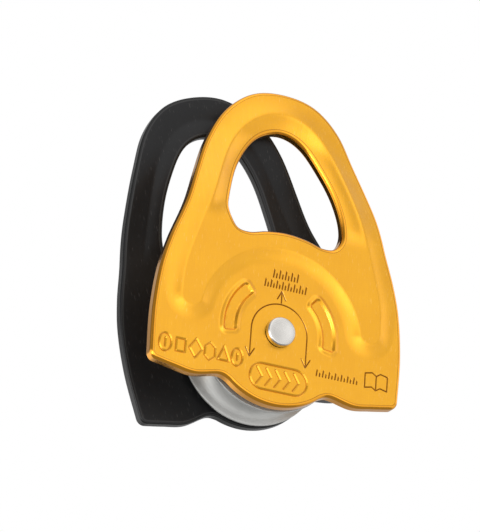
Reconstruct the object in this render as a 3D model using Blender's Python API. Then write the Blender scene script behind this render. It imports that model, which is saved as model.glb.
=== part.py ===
"""Swing-plate rope pulley: two pressed side plates on one axle, with a grooved
sheave on a sealed ball bearing between them.

Frame: the origin is the centre of the axle's front face. +Y runs along the axle
from the front plate to the rear plate, and +Z points up the front plate to its eye.
"""
import math

import bmesh
import bpy
from mathutils import Vector
from mathutils.geometry import delaunay_2d_cdt

MM = 0.001
GAP = 0.3 * MM                    # clearance between pieces that touch or turn on each other

# Stack along the axle
PLATE_THICKNESS = 3.0 * MM
PLATE_SPACE = 14.6 * MM           # clear width between the two plates
HEAD_STAND_OFF = 1.7 * MM         # how far an axle head stands proud of its plate
AXLE_LENGTH = PLATE_SPACE + 2 * (PLATE_THICKNESS + HEAD_STAND_OFF)
MID_Y = AXLE_LENGTH / 2           # middle plane of the sheave

# Side plate, measured from the axle
REAR_SWING = math.radians(-19.8)  # the rear plate stands swung open by this much
LOBE_RADIUS = 17.6 * MM           # round bottom of the plate, level with the sheave's rim
CORNER_RADIUS = 2.0 * MM
PLATE_CORNER = (29.0 * MM, -10.4 * MM)
BEND_START = 27.0 * MM            # the eye end is joggled inwards from here
BEND_END = 52.0 * MM              # to here
BEND_DEPTH = 6.0 * MM
PLATE_EDGE_BEVEL = 0.6 * MM

# Raised band pressed round the eye, running down into two fingers
RELIEF_HEIGHT = 1.0 * MM
RELIEF_SLOPE = 1.4 * MM           # width of the sloping side of the band
BAND_INNER_RADIUS = 20.5 * MM     # the band's lower edge is a circle about the axle
EYE_DISH = 1.6 * MM               # the band dips inwards by this much towards the eye's rim
DISH_START = 24.0 * MM            # none of it at the eye's lower edge
DISH_END = 30.0 * MM              # and all of it from here up
FINGER_TIP = (22.4 * MM, 4.4 * MM)
FINGER_RADIUS = 2.4 * MM

# Two kidney-shaped beads beside the axle
KIDNEY_RADIUS = 12.4 * MM
KIDNEY_MIDDLE = math.radians(20.5)
KIDNEY_HALF_LENGTH = 7.4 * MM
KIDNEY_HALF_WIDTH = 2.65 * MM
KIDNEY_CORNER = 1.9 * MM
BEAD_WIDTH = 1.1 * MM
BEAD_HEIGHT = 0.5 * MM

# Axle
AXLE_CORE_RADIUS = 3.5 * MM       # between the plates
JOURNAL_RADIUS = 2.8 * MM         # through each plate
HEAD_RADIUS = 3.45 * MM
HEAD_CHAMFER = 0.5 * MM

# Washers and collars
WASHER_THICKNESS = 0.5 * MM
WASHER_RADIUS = 6.5 * MM
COLLAR_RADIUS = 5.0 * MM

# Sheave
TREAD_RADIUS = 12.5 * MM
RIM_RADIUS = 17.6 * MM
SHEAVE_WIDTH = 11.2 * MM
RIM_LAND = 0.7 * MM               # flat width left on each rim
RIM_CHAMFER = 0.2 * MM
HUB_WIDTH = 8.0 * MM
HUB_RADIUS = 11.0 * MM            # the sides are recessed to the hub's width inside this
SHOULDER_HEIGHT = 1.0 * MM        # lip that the bearing is pressed against

# Ball bearing, 7 x 19 x 6 mm
BEARING_WIDTH = 6.0 * MM
BEARING_RADIUS = 9.35 * MM
BALL_COUNT = 7
BALL_RADIUS = 1.75 * MM
PITCH_RADIUS = 6.5 * MM
RACE_CLEARANCE = 0.12 * MM        # between a ball and its raceway
RACE_LAND = 1.2 * MM              # each race's shoulder stands this far from the pitch circle
POCKET_CLEARANCE = 0.2 * MM       # between a ball and its cage pocket
CAGE_SPAN = (-1.0 * MM, 2.3 * MM)  # the open and the closed side of the cage
CAGE_HALF_HEIGHT = 0.85 * MM      # radial half height of the cage ring
SEAL_THICKNESS = 0.35 * MM

ROUND_STEPS = 48                  # facets round the large turned pieces
SMALL_STEPS = 32


# ---------------------------------------------------------------- shared helpers

def clear_scene():
    for item in list(bpy.data.objects):
        bpy.data.objects.remove(item, do_unlink=True)


def finish_material(name, colour, roughness, metallic=1.0):
    material = bpy.data.materials.new(name)
    material.use_nodes = True
    shader = material.node_tree.nodes["Principled BSDF"]
    shader.inputs["Base Color"].default_value = (*colour, 1.0)
    shader.inputs["Roughness"].default_value = roughness
    shader.inputs["Metallic"].default_value = metallic
    return material


def add_piece(name, mesh, material, group, smooth_angle=35.0):
    """Make an object of the mesh, hung on its group's empty on the axle's axis."""
    mesh.materials.append(material)
    mesh.shade_smooth()
    mesh.set_sharp_from_angle(angle=math.radians(smooth_angle))
    piece = bpy.data.objects.new(name, mesh)
    piece.parent = group
    bpy.context.collection.objects.link(piece)
    return piece


def group_on_axle(name):
    """An empty on the axle's axis, in the middle plane, that a moving group hangs on."""
    empty = bpy.data.objects.new(name, None)
    empty.location = (0.0, MID_Y, 0.0)
    bpy.context.collection.objects.link(empty)
    return empty


def turned_mesh(name, profile, steps):
    """Turn a closed profile of (radius, offset along the axle) points about the axle."""
    bm = bmesh.new()
    rings = []
    for step in range(steps):
        angle = 2 * math.pi * step / steps
        rings.append([bm.verts.new((radius * math.cos(angle), y, radius * math.sin(angle)))
                      for radius, y in profile])
    for step in range(steps):
        here, there = rings[step], rings[(step + 1) % steps]
        for i in range(len(profile)):
            j = (i + 1) % len(profile)
            if profile[i][0] > 0.0 or profile[j][0] > 0.0:
                bm.faces.new((here[i], here[j], there[j], there[i]))
    bmesh.ops.remove_doubles(bm, verts=bm.verts, dist=0.00001)
    bmesh.ops.recalc_face_normals(bm, faces=bm.faces)
    mesh = bpy.data.meshes.new(name)
    bm.to_mesh(mesh)
    bm.free()
    return mesh


def ring_section(inner, outer, low, high):
    """Square-cornered section of a plain ring."""
    return [(inner, low), (outer, low), (outer, high), (inner, high)]


def arc(centre, radius, start, end, steps):
    """Points on an arc, with its angles in degrees."""
    angles = [math.radians(start + (end - start) * i / steps) for i in range(steps + 1)]
    return [(centre[0] + radius * math.cos(a), centre[1] + radius * math.sin(a)) for a in angles]


def smooth_curve(points, steps, closed=False):
    """Catmull-Rom curve through the points, each stretch cut into the given steps."""
    count = len(points)
    if closed:
        around = [points[-1]] + points + points[:2]
    else:
        around = [points[0]] + points + [points[-1]]
    curve = []
    for i in range(count if closed else count - 1):
        p0, p1, p2, p3 = (Vector(point) for point in around[i:i + 4])
        for step in range(steps):
            t = step / steps
            curve.append(tuple(0.5 * (2 * p1 + (p2 - p0) * t + (2 * p0 - 5 * p1 + 4 * p2 - p3) * t ** 2
                                      + (3 * p1 - p0 - 3 * p2 + p3) * t ** 3)))
    if not closed:
        curve.append(tuple(points[-1]))
    return curve


def mirrored(half):
    """Close a half outline that starts and ends on the centre line with its mirror image."""
    return half + [(-x, z) for x, z in reversed(half[1:-1])]


def in_mm(points):
    return [(x * MM, z * MM) for x, z in points]


# ---------------------------------------------------------------- side plate outlines

def plate_outline():
    """Round lobe under the axle, a shallow notch, the square corner lug, then up to the eye end."""
    lobe = arc((0.0, 0.0), LOBE_RADIUS, -90.0, -50.0, 6)
    corner = arc(PLATE_CORNER, CORNER_RADIUS, -85.0, 0.0, 4)
    lug = smooth_curve([lobe[-1]] + in_mm([(13.9, -12.7), (19.8, -13.85), (25.0, -13.15)]) + corner[:1], 3)
    side = smooth_curve(corner[-1:] + in_mm([
        (31.2, 0.0), (30.3, 10.0), (28.4, 18.0), (25.5, 26.5), (22.7, 36.5),
        (19.2, 46.7), (14.7, 55.3), (8.1, 61.0), (0.0, 62.6)]), 3)
    return mirrored(lobe[:-1] + lug[:-1] + corner[:-1] + side)


def eye_outline():
    """The carabiner eye: an arched lower edge, round lower corners and a pointed arch on top."""
    half = in_mm([(0.0, 24.6), (5.0, 24.1), (9.4, 23.0), (12.7, 23.8), (14.4, 28.1),
                  (13.6, 34.4), (11.5, 41.2), (7.9, 47.8), (4.3, 51.2), (0.0, 52.4)])
    return smooth_curve(mirrored(half), 2, closed=True)


def grown(run, distance):
    """Move an open run of points sideways, to the right of its direction of travel."""
    moved = []
    for i, (x, z) in enumerate(run):
        before = Vector(run[max(i - 1, 0)])
        after = Vector(run[min(i + 1, len(run) - 1)])
        along = (after - before).normalized()
        moved.append((x + along.y * distance, z - along.x * distance))
    return moved


def band_outline(growth):
    """Edge of the raised band: the arch over the axle, a finger tip, then up and over the eye."""
    inner_radius = BAND_INNER_RADIUS - growth
    lowest = math.degrees(math.asin(FINGER_TIP[1] / inner_radius))
    arch = arc((0.0, 0.0), inner_radius, 90.0, lowest, 10)
    tip = arc(FINGER_TIP, FINGER_RADIUS + growth, 200.0, 340.0, 5)
    crest = smooth_curve(in_mm([
        (24.8, 4.4), (24.2, 12.0), (21.6, 21.5), (19.1, 30.0), (17.1, 37.0), (15.1, 43.0),
        (12.7, 48.3), (9.1, 53.0), (4.8, 55.9), (0.0, 57.0)]), 2)
    return mirrored(arch + tip + grown(crest, growth))


def kidney_outline(side, shrink):
    """Rounded bar bent about the axle, to the right for side 1 and to the left for side -1."""
    half_length = KIDNEY_HALF_LENGTH - shrink
    half_width = KIDNEY_HALF_WIDTH - shrink
    corner = KIDNEY_CORNER - shrink / 2
    x, z = half_width - corner, half_length - corner
    straight = []
    for middle, start in (((x, z), 0.0), ((-x, z), 90.0), ((-x, -z), 180.0), ((x, -z), 270.0)):
        straight += arc(middle, corner, start, start + 90.0, 3)
        if start in (90.0, 270.0):
            end = straight[-1]
            straight += [(end[0], end[1] * fraction) for fraction in (0.5, 0.0, -0.5)]
    bent = []
    for across, along in straight:
        angle = KIDNEY_MIDDLE + along / KIDNEY_RADIUS
        radius = KIDNEY_RADIUS + across
        bent.append((side * radius * math.cos(angle), radius * math.sin(angle)))
    return bent


# ---------------------------------------------------------------- side plate solid

def eased(height, start, end):
    """Smooth step from 0 at the start height to 1 at the end height."""
    t = min(max((height - start) / (end - start), 0.0), 1.0)
    return t * t * (3 - 2 * t)


def joggle(height):
    """How far the plate is bent inwards at a height above the axle."""
    return BEND_DEPTH * eased(height, BEND_START, BEND_END)


def inside(point, loop):
    """Whether a point lies inside a closed loop of points."""
    x, z = point
    within = False
    for (x1, z1), (x2, z2) in zip(loop, loop[1:] + loop[:1]):
        if (z1 > z) != (z2 > z) and x < x1 + (z - z1) / (z2 - z1) * (x2 - x1):
            within = not within
    return within


def plate_loops():
    """Every loop that shapes the plate, with the height of the relief at each of its points.

    The first three are its edges: the outline, the eye and the axle hole.
    """
    slope = RELIEF_SLOPE / 2
    levels = [(plate_outline(), 0.0), (eye_outline(), RELIEF_HEIGHT),
              (arc((0.0, 0.0), JOURNAL_RADIUS + GAP, 0.0, 345.0, 23), 0.0),
              (band_outline(slope), 0.0), (band_outline(-slope), RELIEF_HEIGHT)]
    for side in (1, -1):
        for shrink, height in ((0.0, 0.0), (BEAD_WIDTH / 2, BEAD_HEIGHT), (BEAD_WIDTH, 0.0)):
            levels.append((kidney_outline(side, shrink), height))
    loops = [(loop, [height] * len(loop)) for loop, height in levels]
    eye = loops[1][0]
    loops[1] = (eye, [RELIEF_HEIGHT - EYE_DISH * eased(z, DISH_START, DISH_END) for x, z in eye])
    return loops


def plate_triangles(loops):
    """Fill the plate's outline with triangles that follow every loop."""
    points, edges, heights = [], [], []
    for loop, loop_heights in loops:
        first = len(points)
        points += [Vector(point) for point in loop]
        heights += loop_heights
        edges += [(first + i, first + (i + 1) % len(loop)) for i in range(len(loop))]
    flat, _, faces, origins, _, _ = delaunay_2d_cdt(points, edges, [], 0, 0.000001)
    outline, eye, hole = (loop for loop, _ in loops[:3])
    kept = []
    for face in faces:
        middle = sum((flat[i] for i in face), Vector((0.0, 0.0))) / 3
        if inside(middle, outline) and not inside(middle, eye) and not inside(middle, hole):
            kept.append(face)
    return [(point, heights[origin[0]]) for point, origin in zip(flat, origins)], kept


def plate_mesh(name, facing):
    """Pressed plate, whose outer face looks along -Y for facing -1 and along +Y for facing 1."""
    loops = plate_loops()
    points, triangles = plate_triangles(loops)
    inner_y = PLATE_SPACE / 2
    bm = bmesh.new()
    sheets = []
    for level in (inner_y + PLATE_THICKNESS, inner_y):
        sheets.append([bm.verts.new((point.x, facing * (level + height - joggle(point.y)), point.y))
                       for point, height in points])
    outer, inner = sheets
    for a, b, c in triangles:
        bm.faces.new((outer[a], outer[b], outer[c]))
        bm.faces.new((inner[c], inner[b], inner[a]))
    add_edge_walls(bm, outer, inner)
    bmesh.ops.recalc_face_normals(bm, faces=bm.faces)
    mark_round_edges(bm, loops[2][0])
    mesh = bpy.data.meshes.new(name)
    bm.to_mesh(mesh)
    bm.free()
    return mesh


def add_edge_walls(bm, outer, inner):
    """Join the two sheets along every open edge."""
    partner = dict(zip(outer, inner))
    for edge in [edge for edge in bm.edges if edge.is_boundary and edge.verts[0] in partner]:
        a, b = edge.verts
        bm.faces.new((a, b, partner[b], partner[a]))


def mark_round_edges(bm, hole):
    """Mark the edges of the outline and the eye, which are rounded, but not the axle hole.

    They are the edges where a wall, which is a quad, meets a triangle of a face.
    """
    weights = bm.edges.layers.float.new("bevel_weight_edge")
    reach = max(Vector(point).length for point in hole) + GAP
    for edge in bm.edges:
        away = min(Vector((vert.co.x, vert.co.z)).length for vert in edge.verts) > reach
        if away and sorted(len(face.verts) for face in edge.link_faces) == [3, 4]:
            edge[weights] = 1.0


def add_side_plate(name, facing, swing, material):
    group = group_on_axle(name + "_axis")
    group.rotation_euler.y = swing
    plate = add_piece(name, plate_mesh(name, facing), material, group)
    bevel = plate.modifiers.new("rounded_edges", "BEVEL")
    bevel.limit_method = "WEIGHT"
    bevel.width = PLATE_EDGE_BEVEL
    bevel.segments = 1


# ---------------------------------------------------------------- axle, washers and collars

def add_axle(group, material):
    """Solid pin with a wide core, a journal at each end for a plate, and a riveted head on each."""
    end = AXLE_LENGTH / 2
    under_head = PLATE_SPACE / 2 + PLATE_THICKNESS + GAP
    shoulder = PLATE_SPACE / 2 - WASHER_THICKNESS - 2 * GAP
    half = [(JOURNAL_RADIUS, shoulder), (JOURNAL_RADIUS, under_head), (HEAD_RADIUS, under_head),
            (HEAD_RADIUS, end - HEAD_CHAMFER), (HEAD_RADIUS - HEAD_CHAMFER, end), (0.0, end)]
    near = [(radius, -y) for radius, y in reversed(half)]
    profile = near + [(AXLE_CORE_RADIUS, -shoulder), (AXLE_CORE_RADIUS, shoulder)] + half
    add_piece("axle_pin", turned_mesh("axle_pin", profile, SMALL_STEPS), material, group)


def add_washers_and_collars(group, washer_material, collar_material):
    washer_far = PLATE_SPACE / 2 - GAP / 2
    washer_near = washer_far - WASHER_THICKNESS
    washer = ring_section(JOURNAL_RADIUS + GAP, WASHER_RADIUS, washer_near, washer_far)
    collar = ring_section(AXLE_CORE_RADIUS + GAP, COLLAR_RADIUS,
                          BEARING_WIDTH / 2 + GAP / 2, washer_near - GAP / 2)
    for side, facing in (("front", -1), ("rear", 1)):
        for kind, section, material in (("thrust_washer", washer, washer_material),
                                        ("spacer_collar", collar, collar_material)):
            name = side + "_" + kind
            placed = [(radius, facing * y) for radius, y in section]
            add_piece(name, turned_mesh(name, placed, SMALL_STEPS), material, group)


# ---------------------------------------------------------------- sheave

def add_sheave(group, material):
    """Rope wheel turned from bar: a round rope groove, thin rims and a stepped bearing seat."""
    side = SHEAVE_WIDTH / 2
    hub = HUB_WIDTH / 2
    depth = RIM_RADIUS - TREAD_RADIUS
    mouth = side - RIM_LAND
    groove_radius = (mouth ** 2 + depth ** 2) / (2 * depth)
    reach = math.degrees(math.asin(mouth / groove_radius))
    groove = [(TREAD_RADIUS + groove_radius - groove_radius * math.cos(math.radians(angle)),
               groove_radius * math.sin(math.radians(angle)))
              for angle in (reach * step / 5 for step in range(-5, 6))]
    rim = [(RIM_RADIUS, side - RIM_CHAMFER), (RIM_RADIUS - RIM_CHAMFER, side),
           (HUB_RADIUS + side - hub, side), (HUB_RADIUS, hub)]
    seat = BEARING_RADIUS + GAP
    lip = seat - SHOULDER_HEIGHT
    stop = -BEARING_WIDTH / 2 - GAP / 2
    bore = [(seat, hub), (seat, stop), (lip, stop), (lip, -hub)]
    profile = groove + rim + bore + [(radius, -y) for radius, y in reversed(rim)]
    add_piece("sheave", turned_mesh("sheave", profile, ROUND_STEPS), material, group)


# ---------------------------------------------------------------- ball bearing

def raceway(outwards):
    """Groove that the balls run in, from one side of a race to the other."""
    radius = BALL_RADIUS + RACE_CLEARANCE
    reach = math.degrees(math.acos(RACE_LAND / radius))
    steps = [math.radians(reach * step / 3) for step in range(-3, 4)]
    return [(PITCH_RADIUS + outwards * radius * math.cos(a), radius * math.sin(a)) for a in steps]


def add_races(wheel, axle, material):
    half = BEARING_WIDTH / 2
    land = PITCH_RADIUS + RACE_LAND
    outer = ([(land, -half)] + raceway(1) + [(land, half), (BEARING_RADIUS, half),
             (BEARING_RADIUS, -half)])
    add_piece("bearing_outer_race", turned_mesh("bearing_outer_race", outer, ROUND_STEPS),
              material, wheel)
    land = PITCH_RADIUS - RACE_LAND
    bore = AXLE_CORE_RADIUS + GAP / 2
    inner = [(land, -half)] + raceway(-1) + [(land, half), (bore, half), (bore, -half)]
    add_piece("bearing_inner_race", turned_mesh("bearing_inner_race", inner, SMALL_STEPS),
              material, axle)


def ball_centres():
    for number in range(BALL_COUNT):
        angle = 2 * math.pi * number / BALL_COUNT
        yield Vector((PITCH_RADIUS * math.cos(angle), 0.0, PITCH_RADIUS * math.sin(angle)))


def add_balls(group, material):
    for number, centre in enumerate(ball_centres(), start=1):
        bm = bmesh.new()
        bmesh.ops.create_uvsphere(bm, u_segments=12, v_segments=7, radius=BALL_RADIUS)
        mesh = bpy.data.meshes.new("bearing_ball")
        bm.to_mesh(mesh)
        bm.free()
        ball = add_piece("bearing_ball_%d" % number, mesh, material, group)
        ball.location = centre


def add_cage(group, material):
    """Crown cage: a ring beside the balls, with a round pocket cut into it for each ball."""
    ring = ring_section(PITCH_RADIUS - CAGE_HALF_HEIGHT, PITCH_RADIUS + CAGE_HALF_HEIGHT, *CAGE_SPAN)
    ring_steps = 6 * BALL_COUNT
    cage = add_piece("bearing_cage", turned_mesh("bearing_cage", ring, ring_steps), material, group)
    bm = bmesh.new()
    for centre in ball_centres():
        pocket = bmesh.ops.create_uvsphere(bm, u_segments=14, v_segments=8,
                                           radius=BALL_RADIUS + POCKET_CLEARANCE)
        bmesh.ops.translate(bm, verts=pocket["verts"], vec=centre)
    mesh = bpy.data.meshes.new("pocket_cutter")
    bm.to_mesh(mesh)
    bm.free()
    cutter = bpy.data.objects.new("pocket_cutter", mesh)
    cutter.parent = group
    cutter.hide_render = True
    cutter.display_type = "WIRE"
    bpy.context.collection.objects.link(cutter)
    cut = cage.modifiers.new("pockets", "BOOLEAN")
    cut.operation = "DIFFERENCE"
    cut.object = cutter


def add_seals(group, material):
    """Thin shields held by the outer race, just clear of the inner race."""
    outer_face = BEARING_WIDTH / 2 - GAP / 2
    inner_edge = PITCH_RADIUS - RACE_LAND + GAP / 2
    outer_edge = PITCH_RADIUS + RACE_LAND - GAP / 2
    for side, facing in (("front", -1), ("rear", 1)):
        name = side + "_bearing_seal"
        section = [(radius, facing * y) for radius, y in ring_section(
            inner_edge, outer_edge, outer_face - SEAL_THICKNESS, outer_face)]
        add_piece(name, turned_mesh(name, section, ROUND_STEPS), material, group)


# ---------------------------------------------------------------- the whole pulley

def build_pulley():
    clear_scene()
    gold = finish_material("gold_anodised_aluminium", (0.78, 0.41, 0.03), 0.35)
    black = finish_material("black_anodised_aluminium", (0.02, 0.02, 0.022), 0.4, 0.6)
    stainless = finish_material("stainless_steel", (0.62, 0.6, 0.57), 0.28)
    turned = finish_material("turned_aluminium", (0.78, 0.78, 0.77), 0.3)
    bearing_steel = finish_material("bearing_steel", (0.55, 0.55, 0.56), 0.15)
    nylon = finish_material("natural_nylon", (0.75, 0.72, 0.64), 0.5, 0.0)
    rubber = finish_material("seal_rubber", (0.03, 0.03, 0.035), 0.6, 0.0)

    add_side_plate("front_side_plate", -1, 0.0, gold)
    add_side_plate("rear_side_plate", 1, REAR_SWING, black)

    axle = group_on_axle("axle_axis")
    add_axle(axle, stainless)
    add_washers_and_collars(axle, nylon, stainless)

    wheel = group_on_axle("sheave_axis")
    add_sheave(wheel, turned)
    add_races(wheel, axle, bearing_steel)
    add_seals(wheel, rubber)

    ball_train = group_on_axle("ball_train_axis")
    add_balls(ball_train, bearing_steel)
    add_cage(ball_train, nylon)


build_pulley()
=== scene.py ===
import math

import bmesh
import bpy
import numpy as np
from mathutils import Matrix, Vector
from mathutils.geometry import delaunay_2d_cdt


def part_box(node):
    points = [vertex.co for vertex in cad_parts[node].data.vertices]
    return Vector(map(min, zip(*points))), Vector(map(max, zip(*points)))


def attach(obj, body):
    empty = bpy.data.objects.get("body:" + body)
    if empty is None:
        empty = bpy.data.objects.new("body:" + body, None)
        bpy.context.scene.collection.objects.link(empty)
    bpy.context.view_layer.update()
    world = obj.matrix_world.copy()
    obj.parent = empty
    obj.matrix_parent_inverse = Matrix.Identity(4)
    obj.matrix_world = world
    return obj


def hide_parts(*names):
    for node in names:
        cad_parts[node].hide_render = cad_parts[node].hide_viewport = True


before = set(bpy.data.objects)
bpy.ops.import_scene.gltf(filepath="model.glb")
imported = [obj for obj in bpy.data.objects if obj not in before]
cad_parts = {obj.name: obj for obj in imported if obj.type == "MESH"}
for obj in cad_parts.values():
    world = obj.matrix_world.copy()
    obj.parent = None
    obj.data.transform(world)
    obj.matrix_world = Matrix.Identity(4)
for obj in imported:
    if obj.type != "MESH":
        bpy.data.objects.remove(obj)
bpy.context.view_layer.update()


# ============================================================ studio
# The pulley hangs in a white light tent over a pale floor, seen from its lower left. The
# tent is brightest in front and low on the left, dimmer elsewhere; a strip adds sparkle.

AXLE_CENTRE = (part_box("axle_pin")[0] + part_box("axle_pin")[1]) / 2
VIEW_AZIMUTH = math.radians(-22.3)
VIEW_ELEVATION = math.radians(-21.9)
VIEW_ROLL = math.radians(4.25)
VIEW_DISTANCE = 0.7734
VIEW_AIM = AXLE_CENTRE + Vector((-0.0067, 0.0, 0.0186))
VIEW_LENS = 224.8

toward_camera = Vector((math.sin(VIEW_AZIMUTH) * math.cos(VIEW_ELEVATION),
                        -math.cos(VIEW_AZIMUTH) * math.cos(VIEW_ELEVATION),
                        math.sin(VIEW_ELEVATION)))
level_right = Vector((math.cos(VIEW_AZIMUTH), math.sin(VIEW_AZIMUTH), 0.0))
level_up = toward_camera.cross(level_right)
camera_right = level_right * math.cos(VIEW_ROLL) + level_up * math.sin(VIEW_ROLL)
camera_up = level_up * math.cos(VIEW_ROLL) - level_right * math.sin(VIEW_ROLL)

camera_data = bpy.data.cameras.new("studio_camera")
camera_data.lens = VIEW_LENS
camera_data.clip_start = 0.01
camera = bpy.data.objects.new("studio_camera", camera_data)
bpy.context.collection.objects.link(camera)
turn = Matrix((camera_right, camera_up, toward_camera)).transposed().to_4x4()
camera.matrix_world = Matrix.Translation(VIEW_AIM + toward_camera * VIEW_DISTANCE) @ turn
bpy.context.scene.camera = camera
bpy.context.scene.view_settings.view_transform = "Standard"

FLOOR_DROP = 0.5
FLOOR_HALF_SIZE = 0.55
floor_mesh = bpy.data.meshes.new("studio_floor")
floor_builder = bmesh.new()
bmesh.ops.create_grid(floor_builder, x_segments=1, y_segments=1, size=FLOOR_HALF_SIZE)
floor_builder.to_mesh(floor_mesh)
floor_builder.free()
floor = bpy.data.objects.new("studio_floor", floor_mesh)
floor.location.z = -FLOOR_DROP
bpy.context.collection.objects.link(floor)
floor_material = bpy.data.materials.new("pale_floor")
floor_material.use_nodes = True
floor_shader = floor_material.node_tree.nodes["Principled BSDF"]
floor_shader.inputs["Base Color"].default_value = (0.42, 0.42, 0.41, 1.0)
floor_shader.inputs["Roughness"].default_value = 0.8
floor_mesh.materials.append(floor_material)


def add_softbox(name, azimuth, elevation, distance, size, power):
    """Upright softbox aimed at the axle, placed by its direction as seen from the pulley."""
    a, e = math.radians(azimuth), math.radians(elevation)
    direction = Vector((math.sin(a) * math.cos(e), -math.cos(a) * math.cos(e), math.sin(e)))
    light = bpy.data.lights.new(name, "AREA")
    light.shape = "RECTANGLE"
    light.size, light.size_y = size
    light.energy = power
    box = bpy.data.objects.new(name, light)
    box.location = AXLE_CENTRE + direction * distance
    box.rotation_mode = "QUATERNION"
    box.rotation_quaternion = direction.to_track_quat("Z", "Y")
    bpy.context.collection.objects.link(box)


add_softbox("key_strip", -52.0, -16.0, 1.1, (0.06, 0.5), 1.7)

world = bpy.data.worlds.new("studio_world")
world.use_nodes = True
bpy.context.scene.world = world
world_nodes = world.node_tree.nodes
world_links = world.node_tree.links


def combine(operation, first, second):
    """World math node; each input is a socket or a number."""
    node = world_nodes.new("ShaderNodeMath")
    node.operation = operation
    for socket, value in zip(node.inputs, (first, second)):
        if isinstance(value, (int, float)):
            socket.default_value = value
        else:
            world_links.new(value, socket)
    return node.outputs[0]


def ramp(value, low, high, at_low=0.0, at_high=1.0):
    """World value eased from one level to another."""
    node = world_nodes.new("ShaderNodeMapRange")
    node.interpolation_type = "SMOOTHSTEP"
    world_links.new(value, node.inputs["Value"])
    for label, number in (("From Min", low), ("From Max", high),
                          ("To Min", at_low), ("To Max", at_high)):
        node.inputs[label].default_value = number
    return node.outputs["Result"]


TENT_AZIMUTH = math.radians(-4.0)     # the bright front panel of the light tent
ray_direction = world_nodes.new("ShaderNodeTexCoord").outputs["Generated"]
ray_parts = world_nodes.new("ShaderNodeSeparateXYZ")
world_links.new(ray_direction, ray_parts.inputs[0])
upward = ray_parts.outputs["Z"]


def along(x, y):
    """How far the ray's direction points along a level direction."""
    node = world_nodes.new("ShaderNodeVectorMath")
    node.operation = "DOT_PRODUCT"
    world_links.new(ray_direction, node.inputs[0])
    node.inputs[1].default_value = (x, y, 0.0)
    return node.outputs["Value"]


sideways = along(math.cos(TENT_AZIMUTH), math.sin(TENT_AZIMUTH))
forward = along(math.sin(TENT_AZIMUTH), -math.cos(TENT_AZIMUTH))


def product(*values):
    """World values multiplied together."""
    total = values[0]
    for value in values[1:]:
        total = combine("MULTIPLY", total, value)
    return total


front_panel = product(ramp(sideways, -0.32, -0.08), ramp(sideways, 0.2, 0.56, 1.0, 0.0),
                      ramp(forward, 0.0, 0.25), ramp(upward, -0.55, -0.3), ramp(upward, 0.5, 0.75, 0.6, 0.75))
low_left_panel = product(ramp(sideways, -1.05, -0.85), ramp(sideways, -0.25, 0.1, 1.2, 0.0),
                         ramp(upward, -0.58, -0.4), ramp(upward, -0.02, 0.2, 1.0, 0.0))
right_panel = product(ramp(sideways, 0.7, 0.84, 0.0, 0.6), ramp(upward, 0.1, 0.3),
                      ramp(upward, 0.55, 0.75, 1.0, 0.0))
low_fill = product(ramp(upward, -0.1, 0.15, 0.22, 0.0), ramp(forward, 0.2, 0.5))
TENT_LEVEL = 0.95                     # brightness of the tent away from its panels
level = combine("ADD", combine("ADD", front_panel, low_left_panel), TENT_LEVEL)
level = combine("ADD", combine("ADD", right_panel, low_fill), level)
shaded_left = product(ramp(sideways, -0.6, -0.3, 0.62, 0.0), ramp(upward, 0.12, 0.3),
                      ramp(upward, 0.6, 0.85, 1.0, 0.3))
far_left = ramp(sideways, -0.96, -0.86, 1.3, 1.0)
behind = ramp(forward, -0.6, -0.2, 0.6, 1.0)
below = ramp(upward, -0.64, -0.44, 0.6, 1.0)
level = product(level, combine("SUBTRACT", 1.0, shaded_left), far_left, behind, below)

surround = world_nodes["Background"]
surround.inputs["Color"].default_value = (1.0, 1.0, 1.0, 1.0)
world_links.new(level, surround.inputs["Strength"])
backdrop = world_nodes.new("ShaderNodeBackground")
backdrop.inputs["Color"].default_value = (1.0, 1.0, 1.0, 1.0)
seen_directly = world_nodes.new("ShaderNodeLightPath")
choose = world_nodes.new("ShaderNodeMixShader")
world_links.new(seen_directly.outputs["Is Camera Ray"], choose.inputs["Fac"])
world_links.new(surround.outputs["Background"], choose.inputs[1])
world_links.new(backdrop.outputs["Background"], choose.inputs[2])
world_links.new(choose.outputs["Shader"], world_nodes["World Output"].inputs["Surface"])


# ============================================================ axle pin
# Solid stainless pin that both plates and the bearing sit on. Each end is riveted over:
# the front head is turned flat with a shallow dish in the middle and a small chamfer.

MM = 0.001
AXIS_Y = AXLE_CENTRE.y


def shade(mesh, degrees):
    """Smooth shading, with edges sharper than this left crisp."""
    mesh.shade_smooth()
    mesh.set_sharp_from_angle(angle=math.radians(degrees))


def show(name, mesh, material, body, slot, *stands_for):
    """Make a finished piece of the mesh, riding on its body in place of its CAD nodes."""
    piece = bpy.data.objects.new(name, mesh)
    bpy.context.collection.objects.link(piece)
    mesh.materials.clear()
    mesh.materials.append(material)
    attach(piece, body)
    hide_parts(*stands_for)


def turned_mesh(name, profile, steps, crisp=32.0):
    """Turn a closed profile of (radius, offset from the middle plane) points about the axle."""
    bm = bmesh.new()
    rings = []
    for step in range(steps):
        angle = 2 * math.pi * step / steps
        rings.append([bm.verts.new((r * math.cos(angle), AXIS_Y + y, r * math.sin(angle)))
                      for r, y in profile])
    for step in range(steps):
        here, there = rings[step], rings[(step + 1) % steps]
        for i in range(len(profile)):
            j = (i + 1) % len(profile)
            if profile[i][0] > 0.0 or profile[j][0] > 0.0:
                bm.faces.new((here[i], here[j], there[j], there[i]))
    bmesh.ops.remove_doubles(bm, verts=bm.verts, dist=0.000002)
    bmesh.ops.recalc_face_normals(bm, faces=bm.faces)
    mesh = bpy.data.meshes.new(name)
    bm.to_mesh(mesh)
    bm.free()
    shade(mesh, crisp)
    return mesh


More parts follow.
